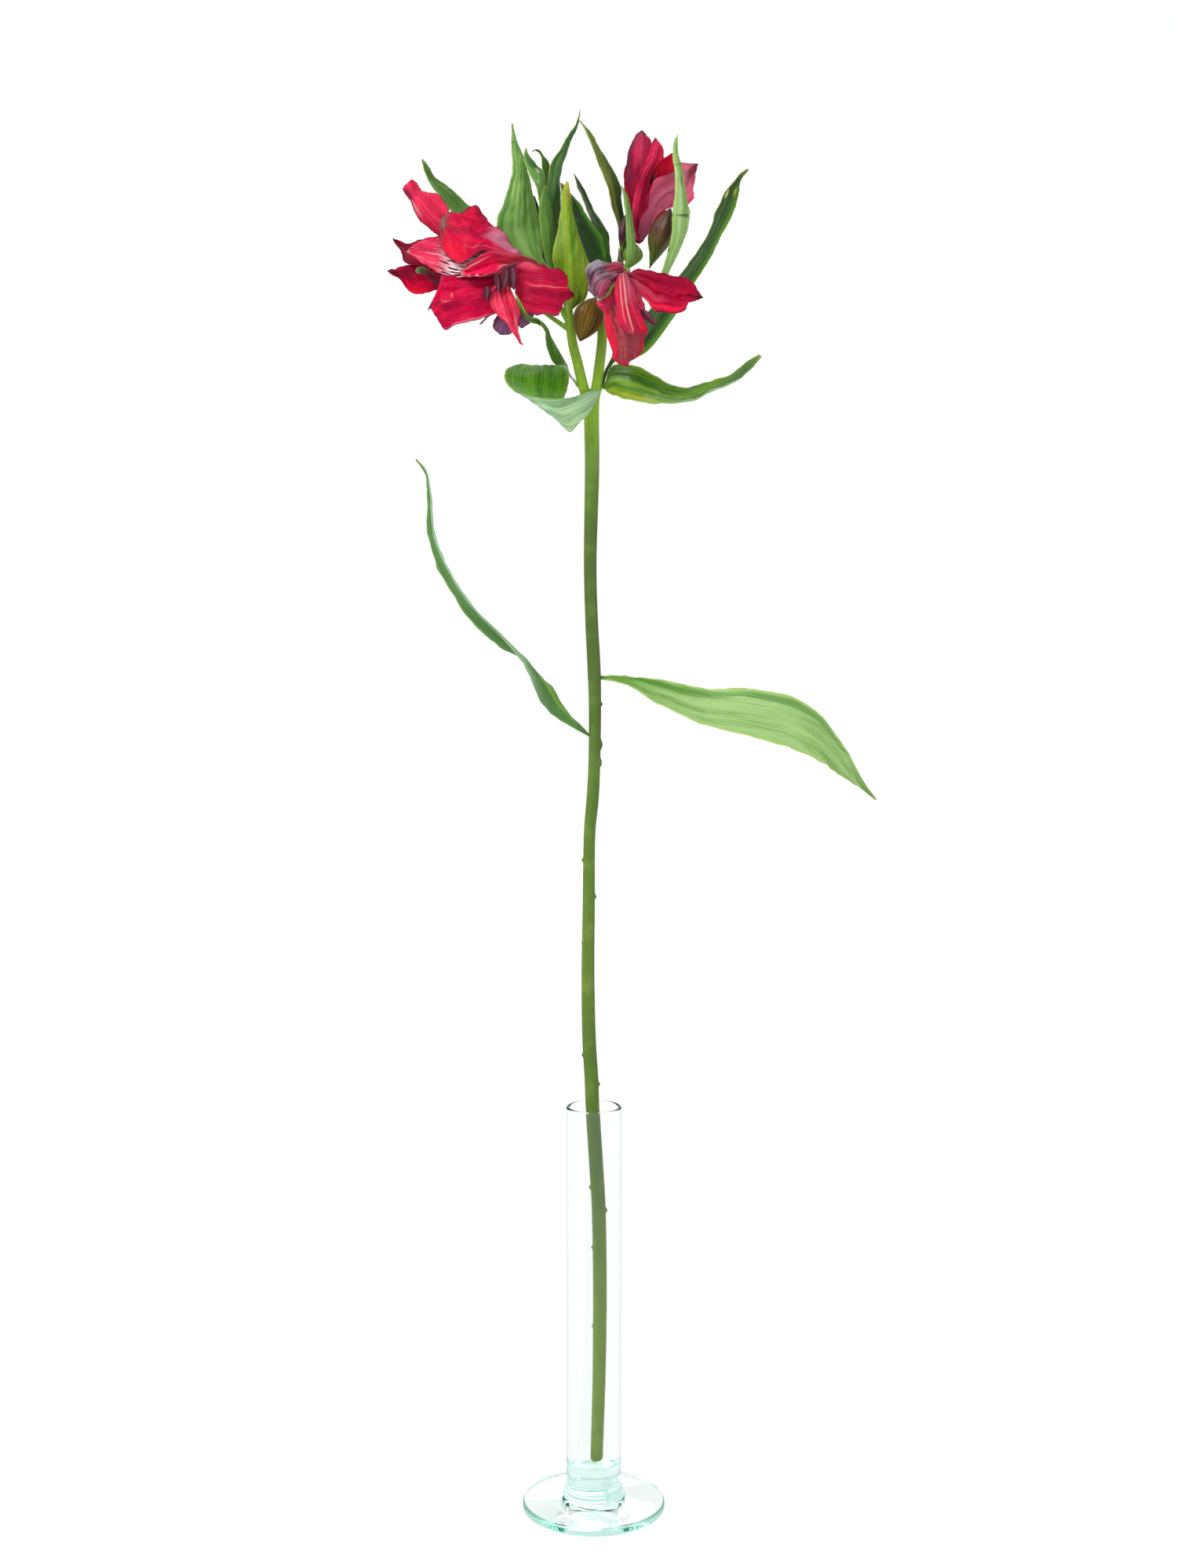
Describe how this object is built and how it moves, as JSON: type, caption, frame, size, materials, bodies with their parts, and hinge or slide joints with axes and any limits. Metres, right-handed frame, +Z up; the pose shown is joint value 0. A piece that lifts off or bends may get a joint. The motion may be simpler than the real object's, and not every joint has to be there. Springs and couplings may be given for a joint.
{
  "type": "alstroemeria stem in a bud vase",
  "caption": "Cut alstroemeria stem with crimson flowers, buds and twisted leaves, standing in a clear glass bud vase with a round foot.",
  "frame": {"origin": "centre of the vase's flat underside, where it stands", "axes": "+Z up along the vase and the stem; the pictured front looks towards +Y from -Y; +X is to its right"},
  "size_m": [0.1947, 0.0825, 0.5785],
  "materials": {
    "green_tinted_glass": "clear gloss",
    "stem_green": "smooth waxy plant skin",
    "green_leaf": "satin leaf with long fine veins",
    "pale_leaf": "satin leaf underside with long fine veins",
    "dark_leaf": "satin leaf with long fine veins",
    "crimson_tepal": "soft velvety petal with fine veins",
    "maroon_stamens": "matt",
    "green_ovary": "smooth waxy plant skin",
    "brown_green_bud": "satin closed petals"
  },
  "bodies": {
    "root": {"bloom_front": "crimson_tepal", "bloom_left": "crimson_tepal", "bloom_right": "crimson_tepal", "bloom_top": "crimson_tepal", "bloom_under": "crimson_tepal", "bud_front": "brown_green_bud", "bud_right": "brown_green_bud", "bud_small": "maroon_stamens", "glass_vase": "green_tinted_glass", "leaf_broad_pale": "pale_leaf", "leaf_curl": "green_leaf", "leaf_dark_broad": "dark_leaf", "leaf_dark_slim": "dark_leaf", "leaf_far_left": "green_leaf", "leaf_front_yellow": "pale_leaf", "leaf_hook": "green_leaf", "leaf_mid_left": "green_leaf", "leaf_mid_right": "pale_leaf", "leaf_pale_right": "pale_leaf", "leaf_slim_dark": "dark_leaf", "leaf_slim_mid": "green_leaf", "leaf_small_front": "pale_leaf", "leaf_tall_arch": "dark_leaf", "leaf_tall_dark": "dark_leaf", "leaf_whorl_loop": "pale_leaf", "leaf_whorl_right": "green_leaf", "leaf_whorl_tall": "dark_leaf", "leaf_whorl_twist": "green_leaf", "ovary_front": "green_ovary", "ovary_left": "green_ovary", "ovary_right": "green_ovary", "ovary_top": "green_ovary", "ovary_under": "green_ovary", "stamens_front": "maroon_stamens", "stamens_left": "maroon_stamens", "stamens_right": "maroon_stamens", "stamens_top": "maroon_stamens", "stem": "stem_green"}
  },
  "joints": []
}
